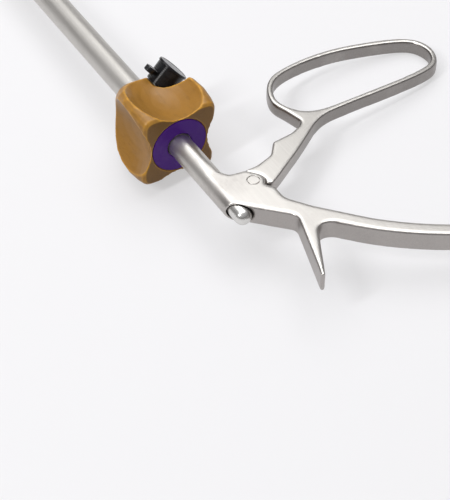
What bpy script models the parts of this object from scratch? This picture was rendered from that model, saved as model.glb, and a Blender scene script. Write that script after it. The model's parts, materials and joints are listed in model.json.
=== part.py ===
"""Laparoscopic clip applier: ring handle, rotating knob, 10 mm tube and clip jaws.

Sizes are in millimetres and each mesh is scaled to metres as it is finished.
The instrument frame has +X along the tube towards the surgeon's hand with X = 0 on
the knob's rear face, +Y towards the levers and +Z square to the handle's plate.
The whole instrument lies on its side: the knob, the end of the jaw housing and the
end of the ring lever touch the surface.
"""

import math

import bmesh
import bpy
from mathutils import Matrix, Vector

MM = 0.001

# Clearances
FIT = 0.2
RUN = 0.3

# Handle plate and its cheeks
PLATE_THICK = 7.7
PLATE_EDGE = 0.8
CHEEK_RADIUS = 4.0
STOP_ANGLE = 36.0
STOP_REACH = 8.0
HAND_LEVER_ROOT = 5.5
HAND_LEVER_TIP = 4.8

# Neck and its bore
NECK_OUTER = 8.5
NECK_FRONT = -8.0
NECK_REACH = 52.0
NECK_FLATS = 22.0
NECK_BORE = 6.8
MOUTH_X = 39.2
MOUTH_LEAN = 33.0

# Pivot of the ring lever
PIVOT_X = 31.6
PIVOT_Y = 9.9
PIN_DIAMETER = 4.0
LEVER_STROKE = 20.0
FINGER_REACH = 7.41
FINGER_TIP = 1.1
FINGER_ROOT = 1.7
TONGUE_THICK = 3.0
SLOT_REAR = 6.7

# Ring lever
LEVER_THICK = 5.45
LEVER_EDGE = 0.7
HUB_RADIUS = 3.5
SHOULDER_REACH = 6.6
LEVER_END = 104.5

# Knob
KNOB_LENGTH = 30.0
KNOB_HALF = 14.9
KNOB_WIDEST = 9.0
KNOB_CORNER = 3.2
KNOB_BORE = 14.6
KNOB_PHASE = 3.5
SCOOP_LONG = 27.5
SCOOP_WIDE = 17.5
SCOOP_HIGH = 20.0
SCOOP_DEPTH = 6.4
SCOOP_X = 13.8
COLLAR_DIAMETER = 20.9
COLLAR_THICK = 0.5
WASHER_THICK = 1.3
NECK_RING_THICK = 3.0
SEAL_THICK = 3.0

# Flush port
PORT_X = 26.0
PORT_ANGLE = 45.0
PORT_STUB = 6.0
PORT_BORE = 2.8
PORT_HEIGHT = 12.6
SLEEVE_OUTER = 11.4
SLEEVE_END = 30.6
SLEEVE_STEP = 19.8
CAP_DIAMETER = 10.4
CAP_RIM = 11.5
POCKET_FLOOR = 8.2
POCKET_RADIUS = 6.2
POCKET_FLARE = 20.0
CAP_RIM_THICK = 1.5
CAP_TOP = 17.0
CAP_TAB_HEIGHT = 11.6
CAP_TAB_REACH = 10.3

# Outer tube and the drive rod inside it
TUBE_OUTER = 10.0
TUBE_WALL = 0.9
TUBE_END = 284.8
ROD_DIAMETER = 5.5
ROD_HEAD = 6.2
ROD_NECK = 2.0
DOME_X = 41.0

# Jaw housing
HOUSING_LENGTH = 34.4
HOUSING_CHAMFER = 1.4
SLOT_LENGTH = 16.0
SLOT_HEIGHT = 4.5
THREAD_COLLAR = 7.6
COLLAR_LENGTH = 5.0
SPRING_LENGTH = 9.6
SPRING_TURNS = 6.5
SPRING_MEAN = 6.4
SPRING_WIRE = 0.8
BLADE_ROD = 3.8
BLADE_THICK = 1.0
ROD_SPIGOT = 3.0
ROD_JOINT = 9.0
BLADE_SPIGOT = 2.6
SCREW_HEAD = 4.2
SCREW_SHANK = 1.4
SCREW_SEAT = 3.4
SCREW_FROM_REAR = 8.4

# Jaws
JAW_LENGTH = 40.0
JAW_OPEN = 7.5
JAW_PIN_DEPTH = 4.5
JAW_PIN = 2.0
DRIVE_PIN = 1.6
DRIVE_REACH = 7.5
JAW_GAP = 0.3
TANG_THICK = 1.15

STEEL = (0.62, 0.60, 0.57)
STROKE = 2 * FINGER_REACH * math.sin(math.radians(LEVER_STROKE / 2))


def polar(cx, cy, radius, angle):
    """Point at an angle in degrees round a centre."""
    turn = math.radians(angle)
    return (cx + radius * math.cos(turn), cy + radius * math.sin(turn))


def arc(cx, cy, radius, start, end, steps):
    """Points along an arc, both ends included."""
    return [polar(cx, cy, radius, start + (end - start) * i / steps)
            for i in range(steps + 1)]


def rounded(corners):
    """Polyline through (x, y, radius) corners, all but its ends rounded by arcs."""
    points = [corners[0][:2]]
    for last, corner, ahead in zip(corners, corners[1:], corners[2:]):
        here = Vector(corner[:2])
        radius = corner[2]
        back = (Vector(last[:2]) - here).normalized()
        front = (Vector(ahead[:2]) - here).normalized()
        half = back.angle(front) / 2
        middle = here + (back + front).normalized() * (radius / math.sin(half))
        run = radius / math.tan(half)
        first = here + back * run - middle
        turn = first.angle_signed(here + front * run - middle)
        steps = max(2, round(abs(math.degrees(turn)) / 18))
        for k in range(steps + 1):
            points.append(tuple(middle + Matrix.Rotation(-turn * k / steps, 2) @ first))
    return points + [corners[-1][:2]]


def through(points, steps=3, closed=False):
    """Smooth curve through a few points."""
    count = len(points)
    curve = []
    for i in range(count if closed else count - 1):
        if closed:
            near = [Vector(points[(i + k) % count]) for k in (-1, 0, 1, 2)]
        else:
            near = [Vector(points[min(max(i + k, 0), count - 1)]) for k in (-1, 0, 1, 2)]
        for k in range(steps):
            t = k / steps
            spot = (near[1] * 2 + (near[2] - near[0]) * t
                    + (near[0] * 2 - near[1] * 5 + near[2] * 4 - near[3]) * t * t
                    + (near[1] * 3 - near[0] - near[2] * 3 + near[3]) * t ** 3) / 2
            curve.append(tuple(spot))
    if not closed:
        curve.append(tuple(points[-1]))
    return curve


def band(points, root, tip, steps=4):
    """Both edges and the round end of a bar that follows a curve and tapers."""
    middle = [Vector(p) for p in through(points, steps)]
    upper, lower = [], []
    for i, here in enumerate(middle):
        ahead = middle[min(i + 1, len(middle) - 1)] - middle[max(i - 1, 0)]
        side = Vector((-ahead.y, ahead.x)).normalized()
        half = (root + (tip - root) * i / (len(middle) - 1)) / 2
        upper.append(tuple(here + side * half))
        lower.append(tuple(here - side * half))
    heading = math.degrees(math.atan2(ahead.y, ahead.x))
    end = middle[-1]
    cap = arc(end.x, end.y, tip / 2, heading + 75, heading - 75, 6)
    return upper + cap + lower[::-1]


def link(cx, cy, big, dx, dy, small, steps=8):
    """Outline of two circles joined by their tangents."""
    heading = math.degrees(math.atan2(dy - cy, dx - cx))
    reach = math.hypot(dx - cx, dy - cy)
    lean = math.degrees(math.acos((big - small) / reach))
    near = arc(cx, cy, big, heading + lean, heading + 360 - lean, 2 * steps)
    far = arc(dx, dy, small, heading - lean, heading + lean, steps)
    return near + far


def as_object(mesh_builder):
    """Turn a bmesh into a working object with its faces pointing out."""
    bmesh.ops.remove_doubles(mesh_builder, verts=mesh_builder.verts, dist=1e-4)
    bmesh.ops.recalc_face_normals(mesh_builder, faces=mesh_builder.faces)
    mesh = bpy.data.meshes.new("work")
    mesh_builder.to_mesh(mesh)
    mesh_builder.free()
    obj = bpy.data.objects.new("work", mesh)
    bpy.context.scene.collection.objects.link(obj)
    return obj


def prism(outline, low, high, edge=0.0):
    """Extrude an XY outline from low to high in Z, with rounded rims."""
    shape = bmesh.new()
    face = shape.faces.new([shape.verts.new((x, y, low)) for x, y in outline])
    risen = bmesh.ops.extrude_face_region(shape, geom=[face])
    bmesh.ops.translate(
        shape, vec=(0, 0, high - low),
        verts=[v for v in risen["geom"] if isinstance(v, bmesh.types.BMVert)])
    bmesh.ops.recalc_face_normals(shape, faces=shape.faces)
    if edge:
        rims = [e for e in shape.edges
                if abs(e.verts[0].co.z - e.verts[1].co.z) < 1e-4]
        bmesh.ops.bevel(shape, geom=rims, offset=edge, segments=2, profile=0.5,
                        affect="EDGES", clamp_overlap=True)
    return as_object(shape)


def turned(profile, segments=36, ring=False):
    """Revolve an (x, radius) profile about the X axis."""
    shape = bmesh.new()
    verts = [shape.verts.new((x, 0, r)) for x, r in profile]
    edges = [shape.edges.new(pair) for pair in zip(verts, verts[1:])]
    if ring:
        edges.append(shape.edges.new((verts[-1], verts[0])))
    bmesh.ops.spin(shape, geom=verts + edges, cent=(0, 0, 0), axis=(1, 0, 0),
                   angle=2 * math.pi, steps=segments, use_merge=True)
    return as_object(shape)


def rod(radius, start, end, segments=32):
    """Plain cylinder along X."""
    return turned([(start, 0), (start, radius), (end, radius), (end, 0)], segments)


def block(low, high):
    """Box between two corners."""
    shape = bmesh.new()
    bmesh.ops.create_cube(shape, size=1.0)
    for vert in shape.verts:
        vert.co = [low[k] if vert.co[k] < 0 else high[k] for k in range(3)]
    return as_object(shape)


def moved(obj, matrix):
    """Move the mesh itself."""
    obj.data.transform(matrix)
    return obj


def upright(obj, x, y):
    """Stand an X-axis solid along Z over the point (x, y)."""
    return moved(obj, Matrix.Translation((x, y, 0)) @ Matrix.Rotation(-math.pi / 2, 4, "Y"))


def combine(target, tool, operation):
    """Join target with tool or cut it by tool, then remove the tool."""
    step = target.modifiers.new(operation.title(), "BOOLEAN")
    step.operation = operation
    step.object = tool
    step.solver = "EXACT"
    bpy.context.view_layer.update()
    graph = bpy.context.evaluated_depsgraph_get()
    result = bpy.data.meshes.new_from_object(target.evaluated_get(graph))
    target.modifiers.clear()
    target.data = result
    bpy.data.objects.remove(tool)
    return target


def cut(target, *tools):
    for tool in tools:
        combine(target, tool, "DIFFERENCE")
    return target


def join(target, *tools):
    for tool in tools:
        combine(target, tool, "UNION")
    return target


def soften(obj, width, angle, segments=2):
    """Round the sharp edges of a finished solid."""
    step = obj.modifiers.new("Round", "BEVEL")
    step.width = width
    step.segments = segments
    step.limit_method = "ANGLE"
    step.angle_limit = math.radians(angle)
    bpy.context.view_layer.update()
    graph = bpy.context.evaluated_depsgraph_get()
    result = bpy.data.meshes.new_from_object(obj.evaluated_get(graph))
    obj.modifiers.clear()
    obj.data = result
    return obj


def material(name, colour, roughness, metallic):
    """Plain surface with one colour."""
    surface = bpy.data.materials.new(name)
    surface.use_nodes = True
    shader = surface.node_tree.nodes["Principled BSDF"]
    shader.inputs["Base Color"].default_value = (*colour, 1.0)
    shader.inputs["Roughness"].default_value = roughness
    shader.inputs["Metallic"].default_value = metallic
    surface.diffuse_color = (*colour, 1.0)
    return surface


def finish(obj, name, frame, origin=(0, 0, 0), colour=STEEL, roughness=0.35, metallic=1.0):
    """Name a piece, set its origin, scale it to metres and hang it in its frame."""
    obj.name = name
    obj.data.name = name
    obj.data.transform(Matrix.Scale(MM, 4) @ Matrix.Translation(-Vector(origin)))
    obj.data.shade_smooth()
    obj.data.set_sharp_from_angle(angle=math.radians(32))
    obj.data.materials.clear()
    obj.data.materials.append(material(name, colour, roughness, metallic))
    obj.parent = frame
    obj.location = Vector(origin) * MM
    return obj


def empty(name, parent=None, location=(0, 0, 0), rotation=(0, 0, 0)):
    """Frame that carries pieces."""
    frame = bpy.data.objects.new(name, None)
    frame.empty_display_size = 0.01
    bpy.context.scene.collection.objects.link(frame)
    frame.parent = parent
    frame.location = Vector(location) * MM
    frame.rotation_euler = rotation
    return frame


def plate_outline():
    """Handle plate seen square on: neck root, cheeks, stop, hand lever and hook."""
    cheek = arc(PIVOT_X, PIVOT_Y, CHEEK_RADIUS, 130, STOP_ANGLE + 4, 9)
    stop = polar(PIVOT_X, PIVOT_Y, CHEEK_RADIUS, STOP_ANGLE)
    ledge = polar(PIVOT_X, PIVOT_Y, STOP_REACH, STOP_ANGLE)
    lever = band([(60.3, 24.1), (70.1, 33.3), (79.4, 44.8), (86.9, 57.2), (92.9, 73.0),
                  (96.6, 91.0)], HAND_LEVER_ROOT, HAND_LEVER_TIP)
    front = rounded([(19.5, -1.0, 0), (19.5, 1.0, 0.3), (25.0, 4.6, 1.8), (25.9, 10.3, 0.8),
                     (*cheek[0], 0)])
    rise = rounded([(*stop, 0), (*ledge, 0.8), (43.6, 14.3, 5.0), (51.8, 20.2, 6.0),
                    (*lever[0], 0)])
    hook = rounded([(*lever[-1], 0), (59.1, 17.1, 4.0), (80.0, 6.3, 0.8), (80.2, 4.7, 0.8),
                    (53.2, 13.2, 3.0), (38.2, -1.6, 0.4), (34.0, -1.0, 0)])
    return front[:-1] + cheek + rise[:-1] + lever + hook[1:]


def make_handle_body(frame):
    """Plate, neck, cheeks, hand lever and hook in one piece of steel."""
    half = PLATE_THICK / 2
    body = prism(plate_outline(), -half, half, PLATE_EDGE)
    neck = rod(NECK_OUTER / 2, NECK_FRONT, NECK_REACH, 40)
    for side in (-1, 1):
        flat = block((NECK_FLATS, -8, half), (NECK_REACH + 8, 8, half + 4))
        cut(neck, moved(flat, Matrix.Scale(side, 4, (0, 0, 1))))
    mouth = block((0, -20, -8), (30, 20, 8))
    lean = Matrix.Rotation(math.radians(-MOUTH_LEAN), 4, "Z")
    cut(neck, moved(mouth, Matrix.Translation((MOUTH_X, 0, 0)) @ lean))
    join(body, neck)
    cut(body, rod(NECK_BORE / 2, NECK_FRONT - 5, NECK_REACH + 8, 32))
    gap = TONGUE_THICK / 2 + RUN / 2
    cut(body, block((PIVOT_X - HUB_RADIUS - 0.9, 0, -gap), (PIVOT_X + SLOT_REAR, 30, gap)))
    cut(body, upright(rod(PIN_DIAMETER / 2 + FIT, -10, 10, 28), PIVOT_X, PIVOT_Y))
    return finish(body, "handle_body", frame, roughness=0.3)


def shoulder_angle():
    """Where the open ring lever's shoulder stands round the pivot."""
    return STOP_ANGLE + LEVER_STROKE + math.degrees(RUN / SHOULDER_REACH)


def ring_outline():
    """Outside of the ring lever, from its stop shoulder round the ring and back."""
    face = shoulder_angle()
    saddle = arc(PIVOT_X, PIVOT_Y, CHEEK_RADIUS + RUN, 130, face, 7)
    shoulder = polar(PIVOT_X, PIVOT_Y, SHOULDER_REACH, face)
    sweep = through([shoulder, (33.3, 19.0), (28.9, 26.1), (25.0, 32.4), (19.9, 39.9),
                     (16.4, 45.2), (14.3, 51.0), (13.8, 60), (13.8, 83), (13.1, 94.5),
                     (11.2, 100.3), (7.0, 103.5), (1.9, LEVER_END), (-3.1, 103.1),
                     (-6.9, 99.3), (-9.8, 93.6), (-12.9, 84.0), (-15.1, 75.0),
                     (-16.1, 66.0), (-15.9, 57.0), (-14.4, 48.0), (-11.8, 43.2),
                     (-7.3, 39.6), (-0.8, 37.5), (6.0, 39.2), (12.6, 40.8)], 3)
    step = rounded([(*sweep[-1], 0), (14.4, 39.6, 0.9), (16.6, 34.5, 5.0),
                    (17.3, 26.6, 1.0), (22.6, 22.4, 4.0), (24.7, 15.5, 4.0),
                    (24.8, 10.4, 0.3), (26.1, 10.9, 0.3), (*saddle[0], 0)])
    return sweep + step[1:] + saddle[1:]


def ring_hole():
    """Inside of the thumb ring."""
    return through([(2.4, 102.2), (-2.4, 100.8), (-5.5, 97.2), (-8.3, 90.5),
                    (-11.1, 81.5), (-13.1, 73), (-13.9, 64), (-13.6, 55.5),
                    (-12.2, 48.6), (-9.6, 44.1), (-5.6, 41.3), (-0.6, 39.9),
                    (4.6, 41.4), (8.6, 44.6), (10.9, 49.5), (11.6, 57), (11.6, 70),
                    (11.5, 84), (10.8, 93.5), (9.3, 98.8), (6.3, 101.4)], 3, True)


def make_ring_lever(frame):
    """Thumb ring, its arm, and the tongue whose finger pushes the rod head."""
    half = LEVER_THICK / 2
    tongue = TONGUE_THICK / 2
    lever = prism(ring_outline(), -half, half, LEVER_EDGE)
    cut(lever, prism(ring_hole(), -half - 1, half + 1))
    face = shoulder_angle()
    tip = polar(PIVOT_X, PIVOT_Y, FINGER_REACH, LEVER_STROKE / 2 - 90)
    finger = link(PIVOT_X, PIVOT_Y, FINGER_ROOT, *tip, FINGER_TIP)
    hub = arc(PIVOT_X, PIVOT_Y, HUB_RADIUS, 0, 345, 23)
    web = [polar(PIVOT_X, PIVOT_Y, HUB_RADIUS - 0.3, face - 6),
           polar(PIVOT_X, PIVOT_Y, SHOULDER_REACH - 0.2, face),
           (PIVOT_X + 1, PIVOT_Y + 9), (PIVOT_X - HUB_RADIUS - 0.4, PIVOT_Y + 8),
           (PIVOT_X - HUB_RADIUS - 0.4, PIVOT_Y + 1), (PIVOT_X - 1, PIVOT_Y)]
    join(lever, prism(finger, -tongue, tongue), prism(hub, -tongue, tongue),
         prism(web, -tongue, tongue))
    cut(lever, upright(rod(PIN_DIAMETER / 2 + RUN, -10, 10, 28), PIVOT_X, PIVOT_Y))
    return finish(lever, "ring_lever", frame, (PIVOT_X, PIVOT_Y, 0), roughness=0.3)


def make_pivot_pin(frame):
    """Cross pin, its ends ground flush with the cheeks."""
    half = PLATE_THICK / 2
    pin = turned([(-half, 0), (-half, PIN_DIAMETER / 2 - 0.2),
                  (0.2 - half, PIN_DIAMETER / 2), (half - 0.2, PIN_DIAMETER / 2),
                  (half, PIN_DIAMETER / 2 - 0.2), (half, 0)], 28)
    upright(pin, PIVOT_X, PIVOT_Y)
    return finish(pin, "pivot_pin", frame, (PIVOT_X, PIVOT_Y, 0), roughness=0.25)


def ring_of(inner, outer, start, end, segments=32, edge=0.0):
    """Washer or sleeve along X with chamfered outer edges."""
    return turned([(start, inner), (start, outer - edge), (start + edge, outer),
                   (end - edge, outer), (end, outer - edge), (end, inner)],
                  segments, True) if edge else turned(
                      [(start, inner), (start, outer), (end, outer), (end, inner)],
                      segments, True)


def stack_depth(*parts):
    """How far in front of the knob's rear face a stack of parts in its bore ends."""
    return COLLAR_THICK + RUN + sum(part + FIT for part in parts)


def make_neck_parts(frame):
    """Washer and ring that hold the knob on the neck."""
    inner = NECK_OUTER / 2 + FIT
    outer = KNOB_BORE / 2 - RUN
    for name, stack, colour, roughness, metallic in (
            ("thrust_washer", (WASHER_THICK,), (0.8, 0.78, 0.72), 0.5, 0.0),
            ("retaining_ring", (WASHER_THICK, NECK_RING_THICK), STEEL, 0.35, 1.0)):
        front = FIT - stack_depth(*stack)
        ring = ring_of(inner, outer, front, front + stack[-1], edge=0.3)
        finish(ring, name, frame, colour=colour, roughness=roughness, metallic=metallic)


def knob_section(x, half, corner):
    """Rounded square across the knob at one place along its axis."""
    ring = []
    for quarter in range(4):
        turn = 45 + 90 * quarter
        cy, cz = polar(0, 0, (half - corner) * math.sqrt(2), turn)
        ring += [(-x, y, z) for y, z in arc(cy, cz, corner, turn - 45, turn + 45, 4)]
    return ring


def make_knob(frame):
    """Four-cornered turning knob with a scoop in each side."""
    shape = bmesh.new()
    back = KNOB_HALF
    stations = [(0, back - 1.9, 2.4), (0.9, back - 1.0, 3.0), (4, back - 0.4, KNOB_CORNER),
                (KNOB_WIDEST, back, KNOB_CORNER), (15, back - 0.2, KNOB_CORNER + 0.3),
                (20, back - 1.1, 4.0), (23.5, back - 2.4, 4.8), (26.3, back - 4.0, 5.2),
                (28.4, back - 5.8, 5.4), (29.5, back - 7.0, 5.4), (KNOB_LENGTH, back - 7.8, 5.4)]
    rings = [[shape.verts.new(p) for p in knob_section(*s)] for s in stations]
    for one, two in zip(rings, rings[1:]):
        for k in range(len(one)):
            n = (k + 1) % len(one)
            shape.faces.new((one[k], one[n], two[n], two[k]))
    shape.faces.new(rings[0])
    shape.faces.new(rings[-1][::-1])
    knob = as_object(shape)
    place = (Matrix.Translation((-SCOOP_X, 0, KNOB_HALF - SCOOP_DEPTH + SCOOP_HIGH))
             @ Matrix.Diagonal((SCOOP_LONG, SCOOP_WIDE, SCOOP_HIGH, 1)))
    for quarter in range(4):
        scoop = bmesh.new()
        bmesh.ops.create_uvsphere(scoop, u_segments=30, v_segments=18, radius=1, matrix=place)
        turn = Matrix.Rotation(math.pi / 2 * quarter, 4, "X")
        cut(knob, moved(as_object(scoop), turn))
    soften(knob, 0.5, 28)
    sleeve = SLEEVE_OUTER / 2 + FIT
    inner = turned([(1, 0), (1, COLLAR_DIAMETER / 2 + FIT),
                    (-COLLAR_THICK - FIT, COLLAR_DIAMETER / 2 + FIT),
                    (-COLLAR_THICK - FIT, KNOB_BORE / 2), (-SLEEVE_STEP - FIT, KNOB_BORE / 2),
                    (-SLEEVE_STEP - FIT, sleeve), (-KNOB_LENGTH - 3, sleeve),
                    (-KNOB_LENGTH - 3, 0)], 40)
    brim = POCKET_FLOOR + KNOB_HALF
    mouth = POCKET_RADIUS + KNOB_HALF * math.tan(math.radians(POCKET_FLARE))
    pocket = turned([(0, 0), (0, PORT_STUB / 2 + FIT), (POCKET_FLOOR, PORT_STUB / 2 + FIT),
                     (POCKET_FLOOR, POCKET_RADIUS), (brim, mouth), (brim, 0)], 40)
    cut(knob, inner, moved(pocket, port_matrix()))
    return finish(knob, "knob", frame, colour=(0.30, 0.14, 0.03), roughness=0.42,
                  metallic=0.0)


def port_matrix():
    """Carries the X axis to the port's axis, square to the tube."""
    return (Matrix.Translation((-PORT_X, 0, 0))
            @ Matrix.Rotation(math.radians(-PORT_ANGLE), 4, "X")
            @ Matrix.Rotation(-math.pi / 2, 4, "Y"))


def port_axis():
    """Direction of the port's axis in the rotor's frame."""
    turn = math.radians(PORT_ANGLE)
    return Vector((0, math.sin(turn), math.cos(turn)))


def make_knob_collar(frame):
    """Coloured disc let into the knob's rear face."""
    inner = NECK_OUTER / 2 + RUN
    outer = COLLAR_DIAMETER / 2
    disc = turned([(-COLLAR_THICK, inner), (-COLLAR_THICK, outer), (-0.2, outer),
                   (0, outer - 0.2), (0, inner + 0.4), (-0.4, inner)], 40, True)
    return finish(disc, "knob_collar", frame, colour=(0.08, 0.02, 0.18), roughness=0.4,
                  metallic=0.0)


def seal_front():
    """Front face of the rod seal, which stands clear of the neck and its ring."""
    return -max(stack_depth(WASHER_THICK, NECK_RING_THICK), RUN - NECK_FRONT) - SEAL_THICK


def tube_rear():
    """Where the tube and its sleeve start behind the seal."""
    return seal_front() - RUN


def make_flush_port(frame):
    """Sleeve round the tube inside the knob, with the flushing stub."""
    inner = TUBE_OUTER / 2 + FIT
    outer = SLEEVE_OUTER / 2
    flange = KNOB_BORE / 2 - FIT
    rear = tube_rear()
    sleeve = turned([(rear, inner), (rear, flange), (-SLEEVE_STEP, flange),
                     (-SLEEVE_STEP, outer),
                     (-SLEEVE_END + 0.8, outer), (-SLEEVE_END, outer - 0.8),
                     (-SLEEVE_END, inner)], 36, True)
    stub = rod(PORT_STUB / 2, TUBE_OUTER / 2 + 0.6, PORT_HEIGHT, 28)
    join(sleeve, moved(stub, port_matrix()))
    cut(sleeve, moved(rod(PORT_BORE / 2, 0, 40, 24), port_matrix()))
    return finish(sleeve, "flush_port", frame)


def make_port_cap(frame):
    """Rubber cap over the stub, with the tab that pulls it off."""
    foot = POCKET_FLOOR + RUN
    radius = CAP_DIAMETER / 2
    rim = CAP_RIM / 2
    bore = PORT_STUB / 2 + FIT
    roof = PORT_HEIGHT + FIT
    under = CAP_TOP - CAP_RIM_THICK
    cap = turned([(foot, bore), (foot, radius - 0.3), (foot + 0.3, radius), (under - 0.4, radius),
                  (under, rim), (CAP_TOP - 0.4, rim), (CAP_TOP, rim - 0.4), (CAP_TOP, 0),
                  (roof, 0), (roof, bore)], 40, True)
    end = CAP_TAB_REACH
    tab = turned([(radius - 0.6, 0), (radius - 0.6, 1.1), (end - 2.1, 1.1), (end - 1.9, 2.0),
                  (end - 0.4, 2.0), (end, 1.6), (end, 0)], 20)
    sideways = Matrix.Rotation(-math.pi / 2, 4, "Z")
    join(cap, moved(tab, Matrix.Translation((CAP_TAB_HEIGHT, 0, 0)) @ sideways))
    moved(cap, port_matrix())
    origin = Vector((-PORT_X, 0, 0)) + port_axis() * PORT_HEIGHT
    return finish(cap, "port_cap", frame, origin, (0.012, 0.012, 0.014), 0.35, 0.0)


def make_outer_tube(frame):
    """Long tube, with a flushing hole under the port."""
    outer = TUBE_OUTER / 2
    front = -TUBE_END
    rear = tube_rear()
    tube = turned([(front, outer - TUBE_WALL), (front, outer), (rear, outer),
                   (rear, outer - TUBE_WALL)], 40, True)
    cut(tube, moved(rod(PORT_BORE / 2, 0, 20, 20), port_matrix()))
    return finish(tube, "outer_tube", frame, roughness=0.38)


def make_rod_seal(frame):
    """Seal round the rod, between the neck and the tube."""
    front = seal_front()
    seal = ring_of(ROD_DIAMETER / 2 + FIT, KNOB_BORE / 2 - FIT, front, front + SEAL_THICK,
                   edge=0.5)
    return finish(seal, "rod_seal", frame, colour=(0.02, 0.02, 0.02), roughness=0.6,
                  metallic=0.0)


def housing_rear():
    """Where the jaw housing butts against the tube's end."""
    return -TUBE_END - FIT


def pin_x():
    """Place of the jaw pin along the tube."""
    return housing_rear() - HOUSING_LENGTH + JAW_PIN_DEPTH


def make_jaw_housing(frame):
    """Housing with side slots for the jaws' tangs."""
    rear = housing_rear()
    front = rear - HOUSING_LENGTH
    outer = TUBE_OUTER / 2
    bore = BLADE_ROD / 2 + RUN
    slot = SLOT_HEIGHT / 2
    body = turned([(front, bore), (front, outer - 0.15), (front + 0.15, outer),
                   (rear - HOUSING_CHAMFER, outer),
                   (rear, outer - HOUSING_CHAMFER * 0.55), (rear, bore)], 40, True)
    end = front + SLOT_LENGTH - slot
    groove = block((front - 5, -8, -slot), (end, 8, slot))
    roundel = rod(slot, -8, 8, 24)
    moved(roundel, Matrix.Translation((end, 0, 0)) @ Matrix.Rotation(math.pi / 2, 4, "Z"))
    join(groove, roundel)
    cut(body, groove)
    cut(body, upright(rod(JAW_PIN / 2 + FIT, -10, 10, 20), pin_x(), 0))
    seat = rear - SCREW_FROM_REAR
    shank = SCREW_SHANK / 2 + FIT
    head = SCREW_HEAD / 2 + FIT
    hole = turned([(0, 0), (0, shank), (SCREW_SEAT, shank), (SCREW_SEAT, head), (outer + 3, head),
                   (outer + 3, 0)], 28)
    cut(body, upright(hole, seat, 0))
    return finish(body, "jaw_housing", frame, roughness=0.36)


def make_guide_screw(frame):
    """Screw whose tip runs in the blade's groove and keeps the jaws in line."""
    seat = housing_rear() - SCREW_FROM_REAR
    tip = BLADE_ROD / 2 - 0.5
    top = TUBE_OUTER / 2 - 0.25
    shank = SCREW_SHANK / 2
    under = SCREW_SEAT + FIT
    screw = turned([(tip, 0), (tip, shank), (under, shank), (under, SCREW_HEAD / 2),
                    (top - 0.2, SCREW_HEAD / 2), (top, SCREW_HEAD / 2 - 0.25), (top, 0)], 28)
    upright(screw, seat, 0)
    return finish(screw, "guide_screw", frame, (seat, 0, 0), roughness=0.3)


def make_thread_collar(frame):
    """Collar that screws the insert into the tube."""
    rear = housing_rear() + FIT
    collar = ring_of(BLADE_ROD / 2 + RUN, THREAD_COLLAR / 2, rear, rear + COLLAR_LENGTH,
                     36, 0.5)
    return finish(collar, "thread_collar", frame)


def make_jaw_spring(frame):
    """Coil that pushes the rod back and opens the jaws."""
    start = housing_rear() + FIT + COLLAR_LENGTH + 0.15 + SPRING_WIRE / 2
    length = SPRING_LENGTH - SPRING_WIRE - 0.3
    steps = round(SPRING_TURNS * 10)
    sides = 6
    shape = bmesh.new()
    rings = []
    for i in range(steps + 1):
        t = i / steps
        turn = 2 * math.pi * SPRING_TURNS * t
        outward = Vector((0, math.cos(turn), math.sin(turn)))
        ahead = Vector((length / (math.pi * SPRING_MEAN * SPRING_TURNS),
                        -math.sin(turn), math.cos(turn))).normalized()
        side = ahead.cross(outward)
        middle = Vector((start + length * t, 0, 0)) + outward * SPRING_MEAN / 2
        rings.append([shape.verts.new(
            middle + (outward * math.cos(2 * math.pi * k / sides)
                      + side * math.sin(2 * math.pi * k / sides)) * SPRING_WIRE / 2)
            for k in range(sides)])
    for one, two in zip(rings, rings[1:]):
        for k in range(sides):
            n = (k + 1) % sides
            shape.faces.new((one[k], one[n], two[n], two[k]))
    shape.faces.new(rings[0])
    shape.faces.new(rings[-1][::-1])
    return finish(as_object(shape), "jaw_spring", frame, roughness=0.25)


def make_rod_parts(frame):
    """Drive rod, its polished head in the handle, and the blade in the housing."""
    radius = ROD_DIAMETER / 2
    head = ROD_HEAD / 2
    groove = PIVOT_X + FINGER_REACH * math.sin(math.radians(LEVER_STROKE / 2))
    half = FINGER_TIP + RUN
    neck = groove - half - 3.0
    joint = neck - ROD_JOINT
    spigot = ROD_SPIGOT / 2
    tail = BLADE_SPIGOT / 2
    dome = arc(DOME_X, 0, head, 90, 0, 6)
    ball_end = turned([(joint + 5, 0), (joint + 5, spigot + FIT), (joint, spigot + FIT),
                       (joint, radius), (neck, radius), (neck, head),
                       (groove - half, head), (groove - half, ROD_NECK / 2),
                       (groove + half, ROD_NECK / 2), (groove + half, head)] + dome[:-1]
                      + [(DOME_X + head, 0)], 28)
    finish(ball_end, "rod_head", frame, roughness=0.12)
    seat = housing_rear() + FIT + COLLAR_LENGTH + SPRING_LENGTH
    flange = SPRING_MEAN / 2 + SPRING_WIRE / 2
    shaft = turned([(seat + 6, 0), (seat + 6, tail + FIT), (seat, tail + FIT),
                    (seat, flange), (seat + 1.2, flange), (seat + 1.2, radius),
                    (joint - FIT, radius), (joint - FIT, spigot), (joint + 4.6, spigot),
                    (joint + 4.6, 0)], 28)
    finish(shaft, "drive_rod", frame, roughness=0.3)
    drive = pin_x() + DRIVE_REACH
    thin = BLADE_ROD / 2
    round_end = drive + 4.8
    blade = turned([(round_end, 0), (round_end, thin - 0.2), (round_end + 0.2, thin),
                    (seat - FIT, thin), (seat - FIT, tail), (seat + 5.6, tail),
                    (seat + 5.6, 0)], 28)
    flat = prism(link(drive, 0, 1.6, round_end + 1, 0, 1.55), -BLADE_THICK / 2,
                 BLADE_THICK / 2)
    join(blade, flat)
    cut(blade, upright(rod(DRIVE_PIN / 2 + FIT, -5, 5, 20), drive, 0))
    screw = housing_rear() - SCREW_FROM_REAR
    side = SCREW_SHANK / 2 + RUN
    keyway = block((screw - side, -side, thin - 0.8), (screw + STROKE + side, side, 5))
    cut(blade, keyway)
    finish(blade, "drive_blade", frame, roughness=0.3)
    pin = rod(DRIVE_PIN / 2, -SLOT_HEIGHT / 2 + 0.35, SLOT_HEIGHT / 2 - 0.35, 20)
    finish(upright(pin, drive, 0), "drive_pin", frame, (drive, 0, 0))


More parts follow.
